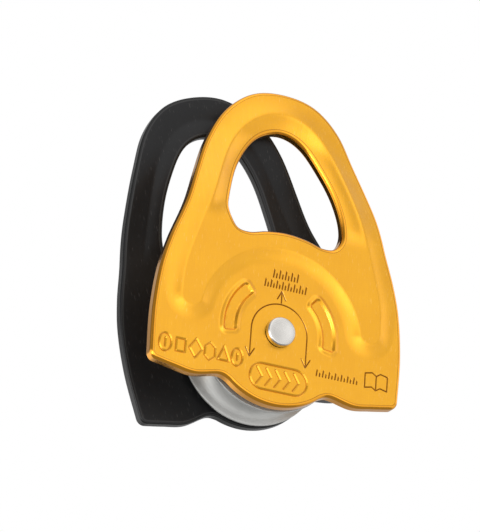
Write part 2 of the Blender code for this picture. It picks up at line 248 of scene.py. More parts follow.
def rounded(corners, radius, steps=4):
    """Round a closed profile's corners; a corner's third value is a radius of its own."""
    out = []
    count = len(corners)
    for i, corner in enumerate(corners):
        here = Vector(corner[:2])
        reach = corner[2] if len(corner) > 2 else radius
        before = Vector(corners[i - 1][:2]) - here
        after = Vector(corners[(i + 1) % count][:2]) - here
        if reach == 0.0:
            out.append(tuple(here))
            continue
        reach = min(reach, before.length * 0.45, after.length * 0.45)
        start = here + before.normalized() * reach
        end = here + after.normalized() * reach
        for step in range(steps + 1):
            t = step / steps
            out.append(tuple(start * (1 - t) ** 2 + here * 2 * t * (1 - t) + end * t ** 2))
    return out


def new_material(name, colour, roughness, metallic):
    """Plain material, with the nodes, links and shader that a finish is built from."""
    material = bpy.data.materials.new(name)
    material.use_nodes = True
    shader = material.node_tree.nodes["Principled BSDF"]
    shader.inputs["Base Color"].default_value = (*colour, 1.0)
    shader.inputs["Roughness"].default_value = roughness
    shader.inputs["Metallic"].default_value = metallic
    return material, material.node_tree.nodes, material.node_tree.links, shader


def new_group(name, inputs, outputs):
    """Empty shader group with float or vector inputs, given as (name, type, value)."""
    group = bpy.data.node_groups.new(name, "ShaderNodeTree")
    for label, kind, value in inputs:
        socket = group.interface.new_socket(label, in_out="INPUT", socket_type=kind)
        if value is not None:
            socket.default_value = value
    for label, kind in outputs:
        group.interface.new_socket(label, in_out="OUTPUT", socket_type=kind)
    return group, group.nodes.new("NodeGroupInput"), group.nodes.new("NodeGroupOutput")


def math_node(nodes, links, operation, first, second=None, third=None):
    """Math node whose inputs are sockets or plain numbers."""
    node = nodes.new("ShaderNodeMath")
    node.operation = operation
    for index, value in enumerate((first, second, third)):
        if value is None:
            continue
        if isinstance(value, (int, float)):
            node.inputs[index].default_value = value
        else:
            links.new(value, node.inputs[index])
    return node.outputs[0]


def noise(nodes, links, vector, scale, detail, roughness=0.5):
    """Noise over a vector; its scale is a number or a group's input."""
    node = nodes.new("ShaderNodeTexNoise")
    links.new(vector, node.inputs["Vector"])
    if isinstance(scale, float):
        node.inputs["Scale"].default_value = scale
    else:
        links.new(scale, node.inputs["Scale"])
    node.inputs["Detail"].default_value = detail
    node.inputs["Roughness"].default_value = roughness
    return node.outputs["Fac"]


def make_turned_marks():
    """Fine rings left by a lathe tool round the axle, fading in and out a little."""
    group, enter, leave = new_group(
        "turned_marks",
        [("Vector", "NodeSocketVector", None), ("Rings", "NodeSocketFloat", 4000.0),
         ("Unevenness", "NodeSocketFloat", 0.5)],
        [("Height", "NodeSocketFloat"), ("Patches", "NodeSocketFloat")])
    nodes, links = group.nodes, group.links
    split = nodes.new("ShaderNodeSeparateXYZ")
    links.new(enter.outputs["Vector"], split.inputs[0])
    across = math_node(nodes, links, "POWER", split.outputs["X"], 2.0)
    up = math_node(nodes, links, "POWER", split.outputs["Z"], 2.0)
    radius = math_node(nodes, links, "SQRT", math_node(nodes, links, "ADD", across, up))
    place = nodes.new("ShaderNodeCombineXYZ")
    links.new(radius, place.inputs["X"])
    links.new(split.outputs["Y"], place.inputs["Y"])
    rings = noise(nodes, links, place.outputs[0], enter.outputs["Rings"], 3.0)
    patches = noise(nodes, links, enter.outputs["Vector"], 260.0, 3.0)
    links.new(patches, leave.inputs["Patches"])
    uneven = math_node(nodes, links, "MULTIPLY", patches, enter.outputs["Unevenness"])
    kept = math_node(nodes, links, "SUBTRACT", 1.0, uneven)
    links.new(math_node(nodes, links, "MULTIPLY", rings, kept), leave.inputs["Height"])
    return group


def place_group(nodes, links, group, values, vector=None):
    """Put a shared group into a material, reading Object coordinates unless told otherwise."""
    node = nodes.new("ShaderNodeGroup")
    node.node_tree = group
    for label, value in values.items():
        node.inputs[label].default_value = value
    if vector is None:
        vector = nodes.new("ShaderNodeTexCoord").outputs["Object"]
    links.new(vector, node.inputs["Vector"])
    return node


def spread(nodes, links, value, low, high, from_low=0.3, from_high=0.7):
    """Map Range node from a noise's usual span to the wanted one."""
    node = nodes.new("ShaderNodeMapRange")
    links.new(value, node.inputs["Value"])
    node.inputs["From Min"].default_value = from_low
    node.inputs["From Max"].default_value = from_high
    node.inputs["To Min"].default_value = low
    node.inputs["To Max"].default_value = high
    return node.outputs["Result"]


def bump(nodes, links, shader, height, distance):
    """Small-scale relief of the given depth, in metres."""
    node = nodes.new("ShaderNodeBump")
    node.inputs["Distance"].default_value = distance
    links.new(height, node.inputs["Height"])
    links.new(node.outputs["Normal"], shader.inputs["Normal"])


TURNED_MARKS = make_turned_marks()


def turned_metal(name, colour, roughness, rings, depth, metallic=1.0):
    """Lathe-turned metal: rings in its roughness and bump, faint patches in its colour."""
    material, nodes, links, shader = new_material(name, colour, roughness, metallic)
    marks = place_group(nodes, links, TURNED_MARKS, {"Rings": rings})
    ringed = spread(nodes, links, marks.outputs["Height"], roughness - 0.06, roughness + 0.08, 0.2, 0.6)
    links.new(ringed, shader.inputs["Roughness"])
    tint = nodes.new("ShaderNodeMix")
    tint.data_type = "RGBA"
    tint.inputs["A"].default_value = (*colour, 1.0)
    tint.inputs["B"].default_value = (*[channel * 0.9 for channel in colour], 1.0)
    links.new(spread(nodes, links, marks.outputs["Patches"], 0.0, 1.0), tint.inputs["Factor"])
    links.new(tint.outputs["Result"], shader.inputs["Base Color"])
    bump(nodes, links, shader, marks.outputs["Height"], depth)
    return material


stainless = turned_metal("stainless_steel", (0.61, 0.59, 0.56), 0.27, 5200.0, 0.000012)

PIN_END = (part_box("axle_pin")[1].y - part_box("axle_pin")[0].y) / 2
PLATE_INNER = 7.3 * MM                # from the middle plane to a plate's inner face
PLATE_THICKNESS = 3.0                 # mm
PLATE_SEAT_RADIUS = 2.8 * MM          # the pin where a plate turns on it
BEARING_SEAT_RADIUS = 3.5 * MM        # and where the bearing and its collars sit
HEAD_RADIUS = 3.45 * MM
DISH_RADIUS = 2.6 * MM
DISH_DEPTH = 0.12 * MM
under_head = PLATE_INNER + PLATE_THICKNESS * MM + 0.25 * MM
shoulder = PLATE_INNER - 1.1 * MM
front_head = ([(0.0, -PIN_END + DISH_DEPTH, 0.0)]
              + [(DISH_RADIUS * t, -PIN_END + DISH_DEPTH * (1 - t * t), 0.0) for t in (0.25, 0.5, 0.75)]
              + [(DISH_RADIUS, -PIN_END, 0.0), (HEAD_RADIUS - 0.3 * MM, -PIN_END, 0.12 * MM),
                 (HEAD_RADIUS, -PIN_END + 0.3 * MM, 0.12 * MM), (HEAD_RADIUS, -under_head, 0.0)])
journals = [(PLATE_SEAT_RADIUS, -under_head, 0.0), (PLATE_SEAT_RADIUS, -shoulder, 0.0),
            (BEARING_SEAT_RADIUS, -shoulder, 0.2 * MM), (BEARING_SEAT_RADIUS, shoulder, 0.2 * MM),
            (PLATE_SEAT_RADIUS, shoulder, 0.0), (PLATE_SEAT_RADIUS, under_head, 0.0)]
rear_head = [(HEAD_RADIUS, under_head, 0.0), (HEAD_RADIUS, PIN_END - 0.7 * MM, 0.3 * MM),
             (HEAD_RADIUS - 0.8 * MM, PIN_END, 0.5 * MM), (0.9 * MM, PIN_END, 0.0),
             (0.0, PIN_END - 0.25 * MM, 0.0)]
pin_profile = rounded(front_head + journals + rear_head, 0.0)
show("axle_pin_turned", turned_mesh("axle_pin_turned", pin_profile, 96), stainless,
     "axle", "stainless", "axle_pin")


# ============================================================ washers and collars
# Two slip washers of natural nylon let the plates swing freely; two stainless collars on
# the pin hold the bearing in the middle of the space between the plates.

nylon, nodes, links, shader = new_material("natural_nylon", (0.78, 0.74, 0.64), 0.5, 0.0)
shader.inputs["Subsurface Weight"].default_value = 0.1
shader.inputs["Subsurface Radius"].default_value = (0.001, 0.0008, 0.0006)
nylon_marks = place_group(nodes, links, TURNED_MARKS, {"Rings": 2500.0})
links.new(spread(nodes, links, nylon_marks.outputs["Patches"], 0.42, 0.58), shader.inputs["Roughness"])
bump(nodes, links, shader, nylon_marks.outputs["Height"], 0.000006)

washer_far = PLATE_INNER - 0.15 * MM
washer_near = washer_far - 0.5 * MM
for side, facing in (("front", -1), ("rear", 1)):
    for kind, inner, outer, near, far, corner, material, slot in (
            ("thrust_washer", 3.1, 6.5, washer_near, washer_far, 0.12, nylon, "nylon"),
            ("spacer_collar", 3.8, 5.0, 3.15 * MM, washer_near - 0.15 * MM, 0.25, stainless, "stainless")):
        corners = [(inner * MM, facing * near), (outer * MM, facing * near),
                   (outer * MM, facing * far), (inner * MM, facing * far)]
        node = "%s_%s" % (side, kind)
        mesh = turned_mesh(node + "_made", rounded(corners, corner * MM, 3), 80, 50.0)
        show(node + "_made", mesh, material, "axle", slot, node)


# ============================================================ side plates
# Two matching aluminium pressings, gold-anodised in front and black-anodised behind. A
# raised band runs round the eye down to two fingers, with a kidney bead each side of the
# axle; the marks are engraved, and the plates turn freely on the pin.

RELIEF = 1.0                          # height of the raised band, mm
LOBE_RADIUS = 17.6
PLATE_CORNER = (29.0, -10.4)
CORNER_RADIUS = 2.0
BAND_INNER_RADIUS = 20.5
FINGER_TIP = (22.4, 4.4)
FINGER_RADIUS = 2.4
PLATE_HOLE = 3.1
EDGE_ROUND = 0.9                      # rounding of the outer rim, mm
EYE_ROUND = 1.1
HOLE_ROUND = 0.3
SWING = math.radians(-19.8)           # the rear plate stands swung open on the pin


def arc(centre, radius, start, end, steps):
    """Points along an arc, its angles in degrees."""
    angles = np.radians(np.linspace(start, end, steps + 1))
    return np.column_stack([centre[0] + radius * np.cos(angles), centre[1] + radius * np.sin(angles)])


def smooth_curve(points, steps, closed=False):
    """Catmull-Rom curve through the points, each stretch cut into the given steps."""
    points = np.array(points, float)
    count = len(points)
    if closed:
        around = np.vstack([points[-1], points, points[:2]])
    else:
        around = np.vstack([points[0], points, points[-1]])
    t = (np.arange(steps) / steps)[:, None]
    runs = []
    for i in range(count if closed else count - 1):
        p0, p1, p2, p3 = around[i:i + 4]
        runs.append(0.5 * (2 * p1 + (p2 - p0) * t + (2 * p0 - 5 * p1 + 4 * p2 - p3) * t ** 2
                           + (3 * p1 - p0 - 3 * p2 + p3) * t ** 3))
    if not closed:
        runs.append(points[-1:])
    return np.vstack(runs)


def mirrored(half):
    """Close a half outline that starts and ends on the centre line with its mirror image."""
    return np.vstack([half, half[-2:0:-1] * (-1, 1)])


def smooth_top(points, steps):
    """Smooth half outline whose last point, on the centre line, has a level tangent."""
    across = [(-u, v) for u, v in points[-2:-3:-1]]
    return smooth_curve(list(points) + across, steps)[:-steps]


def evenly(loop, spacing):
    """Walk round a closed line again with points spaced evenly."""
    line = np.vstack([loop, loop[:1]])
    lengths = np.concatenate([[0], np.cumsum(np.hypot(*np.diff(line, axis=0).T))])
    count = max(int(round(lengths[-1] / spacing)), 3)
    places = np.linspace(0, lengths[-1], count + 1)[:-1]
    return np.column_stack([np.interp(places, lengths, line[:, k]) for k in (0, 1)])


def side_normals(loop, closed=True):
    """Unit normals to the right of the direction of travel along a line."""
    if closed:
        along = np.roll(loop, -1, 0) - np.roll(loop, 1, 0)
    else:
        along = np.gradient(loop, axis=0)
    along /= np.linalg.norm(along, axis=1)[:, None]
    return np.column_stack([along[:, 1], -along[:, 0]])


def is_inside(points, loop):
    """For each point, whether it lies inside a closed loop."""
    x, y = points[:, 0][:, None], points[:, 1][:, None]
    x1, y1 = loop[:, 0][None, :], loop[:, 1][None, :]
    x2, y2 = np.roll(loop[:, 0], -1)[None, :], np.roll(loop[:, 1], -1)[None, :]
    rise = np.where(y2 == y1, 1e-12, y2 - y1)
    crossing = ((y1 > y) != (y2 > y)) & (x < x1 + (y - y1) / rise * (x2 - x1))
    return crossing.sum(1) % 2 == 1


def distance_to(points, starts, ends):
    """Distance of each point to the nearest of many straight stretches."""
    out = np.empty(len(points))
    along = ends - starts
    square = np.maximum((along ** 2).sum(1), 1e-12)
    for first in range(0, len(points), 8000):
        part = points[first:first + 8000]
        px = part[:, 0][:, None] - starts[:, 0]
        py = part[:, 1][:, None] - starts[:, 1]
        t = np.clip((px * along[:, 0] + py * along[:, 1]) / square, 0, 1)
        out[first:first + 8000] = np.sqrt(((px - t * along[:, 0]) ** 2
                                           + (py - t * along[:, 1]) ** 2).min(1))
    return out


def smoothstep(value, low, high):
    """Smooth rise from 0 to 1 between two levels."""
    t = np.clip((value - low) / (high - low), 0, 1)
    return t * t * (3 - 2 * t)


JOGGLE_DEPTH = 6.0                    # how far the eye end is bent in towards the other plate, mm
JOGGLE_START = 27.0
JOGGLE_END = 52.0


def joggle(v):
    """How far the plate is bent inwards at a height above the axle."""
    return JOGGLE_DEPTH * smoothstep(v, JOGGLE_START, JOGGLE_END)


def plate_outline():
    """Round lobe under the axle, a shallow notch, the square corner lug, then up to the eye end."""
    lobe = arc((0.0, 0.0), LOBE_RADIUS, -90.0, -50.0, 30)
    corner = arc(PLATE_CORNER, CORNER_RADIUS, -85.0, 0.0, 12)
    lug = smooth_curve([lobe[-1], (13.9, -12.7), (19.8, -13.85), (25.0, -13.15), corner[0]], 12)
    side = smooth_top([corner[-1], (31.2, 0.0), (30.3, 10.0), (28.4, 18.0), (25.5, 26.5), (22.7, 36.5),
                       (19.2, 46.7), (14.7, 55.3), (8.1, 61.0), (0.0, 62.6)], 14)
    return evenly(mirrored(np.vstack([lobe[:-1], lug[:-1], corner[:-1], side])), 0.45)


def eye_outline():
    """The carabiner eye: an arched lower edge, round lower corners and a pointed arch on top."""
    half = np.array([(0.0, 24.6), (5.0, 24.1), (9.4, 23.0), (12.7, 23.8), (14.4, 28.1),
                     (13.6, 34.4), (11.5, 41.2), (7.9, 47.8), (4.3, 51.2), (0.0, 52.4)])
    return evenly(smooth_curve(mirrored(half), 12, closed=True), 0.45)


def band_outline(growth):
    """Edge of the raised band: the arch over the axle, a finger tip, then up and over the eye."""
    inner = BAND_INNER_RADIUS - growth
    lowest = math.degrees(math.asin(FINGER_TIP[1] / inner))
    arch = arc((0.0, 0.0), inner, 90.0, lowest, 50)
    tip = arc(FINGER_TIP, FINGER_RADIUS + growth, 200.0, 340.0, 24)
    crest = smooth_top([(24.8, 4.4), (24.2, 12.0), (21.6, 21.5), (19.1, 30.0), (17.1, 37.0),
                        (15.1, 43.0), (12.7, 48.3), (9.1, 53.0), (4.8, 55.9), (0.0, 57.0)], 12)
    moved = crest + side_normals(crest, closed=False) * growth
    moved[-1, 0] = 0.0
    return evenly(mirrored(np.vstack([arch, tip, moved])), 0.55)


KIDNEY = {"radius": 12.4, "middle": math.radians(20.5), "length": 7.4, "width": 2.65, "corner": 1.9}
BEAD_CREST = 1.0                      # how far inside the kidney's outline the bead is highest
BEAD_FOOT = 1.5                       # and where its steep inner wall ends
BEAD_HEIGHT = 0.42
KIDNEY_FLOOR = -0.12


def kidney_depth(points):
    """How far each point lies inside the kidney on its side of the axle; negative outside."""
    angle = np.arctan2(points[:, 1], np.abs(points[:, 0]))
    along = np.abs((angle - KIDNEY["middle"]) * KIDNEY["radius"]) - (KIDNEY["length"] - KIDNEY["corner"])
    across = np.abs(np.hypot(points[:, 0], points[:, 1]) - KIDNEY["radius"]) - (
        KIDNEY["width"] - KIDNEY["corner"])
    beyond = np.hypot(np.maximum(along, 0), np.maximum(across, 0))
    return KIDNEY["corner"] - beyond - np.minimum(np.maximum(along, across), 0)


def kidney_outline(side, inset):
    """Rounded bar bent about the axle, to the right for side 1 and to the left for side -1."""
    length, width = KIDNEY["length"] - inset, KIDNEY["width"] - inset
    corner = max(KIDNEY["corner"] - inset, 0.25)
    x, z = width - corner, length - corner
    straight = np.vstack([arc((x, z), corner, 0, 90, 6), arc((-x, z), corner, 90, 180, 6),
                          arc((-x, -z), corner, 180, 270, 6), arc((x, -z), corner, 270, 360, 6)])
    straight = evenly(straight, 0.5)
    angle = KIDNEY["middle"] + straight[:, 1] / KIDNEY["radius"]
    radius = KIDNEY["radius"] + straight[:, 0]
    return np.column_stack([side * radius * np.cos(angle), radius * np.sin(angle)])


BAND_EDGE = band_outline(0.0)
EYE_EDGE = eye_outline()
EYE_DISH = 1.6                        # the band sinks this much from its crest to the eye's rim
FOLD_SOFTNESS = 0.45                  # how far the band's crest is eased, mm
SLOPE_WIDTH = 3.5                     # the band's slope down to the flat, inside its arch
EXTRA_SLOPE = 1.7                     # and how much wider it is on the outside


def relief(points):
    """Height of the pressed relief over the flat of the plate, in mm."""
    far = distance_to(points, BAND_EDGE, np.roll(BAND_EDGE, -1, 0))
    outside = np.hypot(points[:, 0], points[:, 1]) > BAND_INNER_RADIUS
    width = SLOPE_WIDTH + EXTRA_SLOPE * smoothstep(points[:, 1], 2.0, 14.0) * outside
    soft = np.hypot(far, FOLD_SOFTNESS) - FOLD_SOFTNESS
    slope = RELIEF * np.clip(1 - soft / width, 0, 1) ** 2
    to_eye = distance_to(points, EYE_EDGE, np.roll(EYE_EDGE, -1, 0))
    share = soft / np.maximum(soft + to_eye, 1e-6)
    dish = EYE_DISH * smoothstep(points[:, 1], 24.0, 30.0) * share * (1.5 - 0.5 * share)
    band = np.where(is_inside(points, BAND_EDGE), RELIEF - dish, slope)
    depth = kidney_depth(points)
    rise = BEAD_HEIGHT * smoothstep(depth, -0.15, BEAD_CREST)
    fall = (BEAD_HEIGHT - KIDNEY_FLOOR) * np.clip((depth - BEAD_CREST) / (BEAD_FOOT - BEAD_CREST), 0, 1)
    return band + rise - fall


def relief_slope(points, step=0.03):
    """Slope of the relief across and up the plate."""
    across, up = np.array([step, 0.0]), np.array([0.0, step])
    return np.column_stack([(relief(points + across) - relief(points - across)) / (2 * step),
                            (relief(points + up) - relief(points - up)) / (2 * step)])


def ticks(left, right, low, high, count, short=0.55, lean=0.12):
    """Row of upright strokes, every other one shorter, like the divisions of a scale."""
    rows = []
    for i in range(count):
        u = left + (right - left) * i / (count - 1)
        top = high if i % 2 == 0 else low + (high - low) * short
        rows.append([(u, low), (u + (top - low) * lean, top)])
    return rows


def sign(centre, width, height, sides, turn=90.0):
    """Closed polygon stretched to the given size; many sides make a round sign."""
    loop = arc((0.0, 0.0), 1.0, turn, turn + 360.0, sides) * (width / 2, height / 2) + centre
    return [tuple(point) for point in loop]


load_arrows = [
    [tuple(p) for p in np.vstack([[(-7.0, -7.0)], arc((0, 0), 7.0, 180.0, 0.0, 36), [(7.0, -7.0)]])],
    [(-8.1, -5.0), (-7.0, -7.0), (-5.9, -5.0)], [(5.9, -5.0), (7.0, -7.0), (8.1, -5.0)],
    [(0.0, 7.3), (0.0, 10.3)], [(-1.05, 8.2), (0.0, 10.3), (1.05, 8.2)]]
row_of_signs = [sign((-27.7, -8.0), 3.0, 4.3, 24), sign((-23.9, -8.0), 3.2, 4.4, 4, 45.0),
                sign((-20.2, -8.0), 3.2, 4.6, 4), sign((-16.7, -8.0), 2.9, 4.3, 6),
                sign((-13.3, -8.3), 3.4, 4.6, 3), sign((-10.0, -8.0), 2.7, 4.2, 20),
                [(-10.0, -7.3), (-10.0, -8.7)], [(-27.7, -7.0), (-27.7, -9.0)]]
capsule = [tuple(p) for p in np.vstack([arc((4.6, -11.15), 3.1, -90, 90, 14),
                                        arc((-3.5, -11.15), 3.1, 90, 270, 14), [(4.6, -14.25)]])]
chevrons = [[(u, -13.2), (u + 1.35, -11.15), (u, -9.1)] for u in (-4.9, -2.6, -0.3, 2.0, 4.3)]
open_book = [[(22.2, -5.0), (24.0, -4.6), (25.05, -5.3), (26.1, -4.6), (27.9, -5.0), (27.9, -8.5),
              (26.1, -8.1), (25.05, -8.8), (24.0, -8.1), (22.2, -8.5), (22.2, -5.0)],
             [(25.05, -5.3), (25.05, -8.8)]]
fine_marks = (load_arrows + ticks(-2.4, 3.6, 13.3, 15.3, 9) + ticks(-4.4, 5.8, 10.8, 12.6, 15)
              + ticks(9.9, 20.1, -8.3, -6.8, 14) + open_book)
bold_marks = row_of_signs + [capsule] + chevrons
FINE_HALF_WIDTH = 0.19                # the fine strokes are dark, the bold ones stand out by depth
BOLD_HALF_WIDTH = 0.34
FINE_DEPTH = 0.16
BOLD_DEPTH = 0.22
# painted shade: the bold strokes' grooves are also painted a little darker, standing in for the shade in them
BOLD_GROOVE_SHADE = 0.24


def mark_stretches(fine, bold):
    """Every stroke cut into straight stretches, and which of them are fine."""
    marks = fine + bold
    starts = np.vstack([np.array(mark[:-1]) for mark in marks])
    ends = np.vstack([np.array(mark[1:]) for mark in marks])
    is_fine = np.concatenate([np.full(len(mark) - 1, number < len(fine))
                              for number, mark in enumerate(marks)])
    return starts, ends, is_fine


def stroke_share(points, starts, ends, is_fine):
    """How deep the engraving is at each point, in mm, and how dark, from 0 to 1: the fine strokes' own dark
    colour, and painted shade in the bold ones.
    """
    fine = np.clip(1 - distance_to(points, starts[is_fine], ends[is_fine]) / FINE_HALF_WIDTH, 0, 1)
    bold = np.zeros(len(points))
    if not is_fine.all():
        bold = np.clip(1 - distance_to(points, starts[~is_fine], ends[~is_fine]) / BOLD_HALF_WIDTH, 0, 1)
    return np.maximum(fine * FINE_DEPTH, bold * BOLD_DEPTH), np.maximum(fine, bold * BOLD_GROOVE_SHADE)


def stroke_loop(start, end, half_width):
    """Narrow capsule round one straight stretch of an engraved stroke."""
    angle = math.degrees(math.atan2(end[1] - start[1], end[0] - start[0]))
    return np.vstack([arc(start, half_width, angle + 90, angle + 270, 3),
                      arc(end, half_width, angle - 90, angle + 90, 3)])


GRID_ROW = 0.95                       # spacing of the points scattered over the flats, mm
GRID_STEP = 1.1
CLEAR_OF_FOLDS = 0.45                 # and how near they come to a fold or to a stroke
CLEAR_OF_STROKES = 0.6


def plate_sheet(starts, ends, is_fine):
    """Flat triangles of the plate's face, with edges along every fold and stroke."""
    outline, eye = plate_outline(), eye_outline()
    rim = outline - side_normals(outline) * EDGE_ROUND
    eye_rim = eye + side_normals(eye) * EYE_ROUND
    hole_rim = arc((0, 0), PLATE_HOLE + HOLE_ROUND, 0, 360, 64)[:-1]
    loops = [rim, eye_rim, hole_rim]
    lines = []
    for growth in (-1.5, -0.9, -0.4, 0.0, 0.35, 0.8, 1.3, 1.9, 2.5, 3.2, 4.0):
        lines.append(band_outline(growth))
    for side in (1, -1):
        for inset in (-0.15, 0.2, 0.45, 0.72, BEAD_CREST, BEAD_FOOT):
            lines.append(kidney_outline(side, inset))
    rows = []
    for row, v in enumerate(np.arange(-17.0, 62.0, GRID_ROW)):
        us = np.arange(-31.0, 31.1, GRID_STEP) + (GRID_STEP / 2 if row % 2 else 0.0)
        rows.append(np.column_stack([us, np.full(len(us), v)]))
    scattered = np.vstack(rows)
    scattered = scattered[distance_to(scattered, starts, ends) > CLEAR_OF_STROKES]
    for edge_points in (np.vstack(lines), np.vstack(loops)):
        near = distance_to(scattered, edge_points, edge_points + 1e-6)
        scattered = scattered[near > CLEAR_OF_FOLDS]
    for start, end, thin in zip(starts, ends, is_fine):
        lines.append(stroke_loop(start, end, FINE_HALF_WIDTH if thin else BOLD_HALF_WIDTH))

    points, edges = [], []
    for loop in loops + lines:
        first = sum(len(group) for group in points)
        points.append(loop)
        edges += [(first + i, first + (i + 1) % len(loop)) for i in range(len(loop))]
    for start, end in zip(starts, ends):
        first = sum(len(group) for group in points)
        points.append(np.array([start, end]))
        edges.append((first, first + 1))
    points.append(scattered)
    flat = [Vector((u, v)) for u, v in np.vstack(points)]
    places, _, faces, origin, _, _ = delaunay_2d_cdt(flat, edges, [], 0, 1e-5)
    places = np.array([tuple(place) for place in places])
    faces = np.array([face for face in faces if len(face) == 3])
    middle = places[faces].mean(1)
    keep = is_inside(middle, rim) & ~is_inside(middle, eye_rim) & ~is_inside(middle, hole_rim)
    faces = faces[keep]
    a, b, c = places[faces[:, 0]], places[faces[:, 1]], places[faces[:, 2]]
    area = (b[:, 0] - a[:, 0]) * (c[:, 1] - a[:, 1]) - (b[:, 1] - a[:, 1]) * (c[:, 0] - a[:, 0])
    faces[area < 0] = faces[area < 0][:, ::-1]
    faces = faces[np.abs(area) > 1e-7]
    owner = {}
    for index, sources in enumerate(origin):
        for source in sources:
            owner[source] = index
    lengths = np.cumsum([0] + [len(loop) for loop in loops])
    rings = [[owner[i] for i in range(lengths[k], lengths[k + 1])] for k in range(3)]
    return places, faces, rings, (outline, eye, arc((0, 0), PLATE_HOLE, 0, 360, 64)[:-1])


OUTER_FACE = 1.7                      # depth of the plate's outer face behind the axle's front end
ROUND_STEPS = 8
TIGHT_ROUND = 0.45                    # how tight the inner face's rim is next to the outer one
INNER_RELIEF = 0.4                    # share of the relief that shows on the inner face


def face_normals(places, faces, outer, strokes):
    """Normals of the outer and inner faces at the triangles' corners, from the pressing's slope."""
    # each is read a little way into its own triangle, so that folds stay crisp
    corners = places[faces] * 0.9 + places[faces].mean(1)[:, None, :] * 0.1
    flat_corners = corners.reshape(-1, 2)
    slope = relief_slope(flat_corners)
    tilt = 0.02
    bend_slope = (joggle(flat_corners[:, 1] + tilt) - joggle(flat_corners[:, 1] - tilt)) / (2 * tilt)
    outward, inward = [np.column_stack([-slope[:, 0] * share, -np.ones(len(slope)),
                                        bend_slope - slope[:, 1] * share]) for share in (1.0, INNER_RELIEF)]
    outward /= np.linalg.norm(outward, axis=1)[:, None]
    inward /= np.linalg.norm(inward, axis=1)[:, None]
    # the walls of the engraved strokes are flat
    in_stroke = stroke_share(places[faces].mean(1), *strokes)[0] > 0
    a, b, c = outer[faces[:, 0]], outer[faces[:, 1]], outer[faces[:, 2]]
    facet = np.cross(b - a, c - a)
    facet /= np.maximum(np.linalg.norm(facet, axis=1), 1e-12)[:, None]
    facet *= -np.sign(facet[:, 1])[:, None]
    outward = outward.reshape(-1, 3, 3)
    outward[in_stroke] = facet[in_stroke][:, None, :]
    return outward.reshape(-1, 3), -inward.reshape(-1, 3, 3)[:, ::-1, :].reshape(-1, 3)


def rolled_rim(base, edge, lift, radius):
    """Rows of points over a rim, from the outer face to the inner one, with their normals' angles."""
    reach = edge - base
    for quarter in range(1, ROUND_STEPS + 1):
        angle = math.pi / 2 * quarter / ROUND_STEPS
        spot = base + reach * math.sin(angle)
        level = joggle(spot[:, 1]) - lift + radius * (1 - math.cos(angle))
        yield np.column_stack([spot[:, 0], OUTER_FACE + level, spot[:, 1]]), angle
    for quarter in range(ROUND_STEPS, 0, -1):
        angle = math.pi / 2 * quarter / ROUND_STEPS
        spot = base + reach * math.sin(angle) ** TIGHT_ROUND
        level = (joggle(spot[:, 1]) - lift * INNER_RELIEF + PLATE_THICKNESS
                 - TIGHT_ROUND * radius * (1 - math.cos(angle)))
        lean = math.atan2(math.sin(angle) ** (2 - TIGHT_ROUND), math.cos(angle))
        yield np.column_stack([spot[:, 0], OUTER_FACE + level, spot[:, 1]]), math.pi - lean


def build_plate(name, fine, bold, mirrored_plate, swing):
    """Both faces and the rounded rims of one plate, with its normals taken from the pressing."""
    strokes = mark_stretches(fine, bold)
    places, faces, rings, edges = plate_sheet(*strokes)
    height = relief(places)
    stroke, darkness = stroke_share(places, *strokes)
    bend = joggle(places[:, 1])
    outer = np.column_stack([places[:, 0], OUTER_FACE + bend - height + stroke, places[:, 1]])
    inner = np.column_stack([places[:, 0], OUTER_FACE + PLATE_THICKNESS + bend - height * INNER_RELIEF,
                             places[:, 1]])
    used = np.unique(faces)
    renumber = np.full(len(places), -1)
    renumber[used] = np.arange(len(used))
    count = len(used)
    vertices = [outer[used], inner[used]]
    triangles = renumber[faces]
    polygons = [list(t) for t in triangles] + [list(t[::-1] + count) for t in triangles]
    normals = list(face_normals(places, faces, outer, strokes))
    rim_share = [np.zeros(2 * count)]
    mark_and_groove_shade = [darkness[used], np.zeros(count)]
    total = 2 * count
    for ring, edge, radius in zip(rings, edges, (EDGE_ROUND, EYE_ROUND, HOLE_ROUND)):
        base = places[ring]
        away = (edge - base) / np.linalg.norm(edge - base, axis=1)[:, None]
        rows, angles = [renumber[ring]], [0.0]
        for points, angle in rolled_rim(base, edge, height[ring], radius):
            vertices.append(points)
            rows.append(np.arange(total, total + len(ring)))
            angles.append(angle)
            total += len(ring)
            rim_share.append(np.ones(len(ring)))
            mark_and_groove_shade.append(np.zeros(len(ring)))
        rows.append(renumber[ring] + count)
        angles.append(math.pi)
        for k in range(len(rows) - 1):
            for i in range(len(ring)):
                j = (i + 1) % len(ring)
                quad = [(k, i), (k, j), (k + 1, j), (k + 1, i)]
                polygons.append([rows[row][place] for row, place in quad])
                for row, place in quad:
                    across, up = away[place] * math.sin(angles[row])
                    normals.append(np.array([[across, -math.cos(angles[row]), up]]))
    vertices = np.vstack(vertices) * MM
    normals = np.vstack(normals)
    flat_map = vertices[:, (0, 2)] * 10.0 + 0.5
    if mirrored_plate:
        vertices[:, 1] = 2 * AXIS_Y - vertices[:, 1]
        normals[:, 1] = -normals[:, 1]
    turned = np.array(Matrix.Rotation(swing, 3, "Y"))
    vertices, normals = vertices @ turned.T, normals @ turned.T
    return finish_plate(name, polygons, vertices, normals, flat_map,
                        np.concatenate(rim_share), np.concatenate(mark_and_groove_shade))


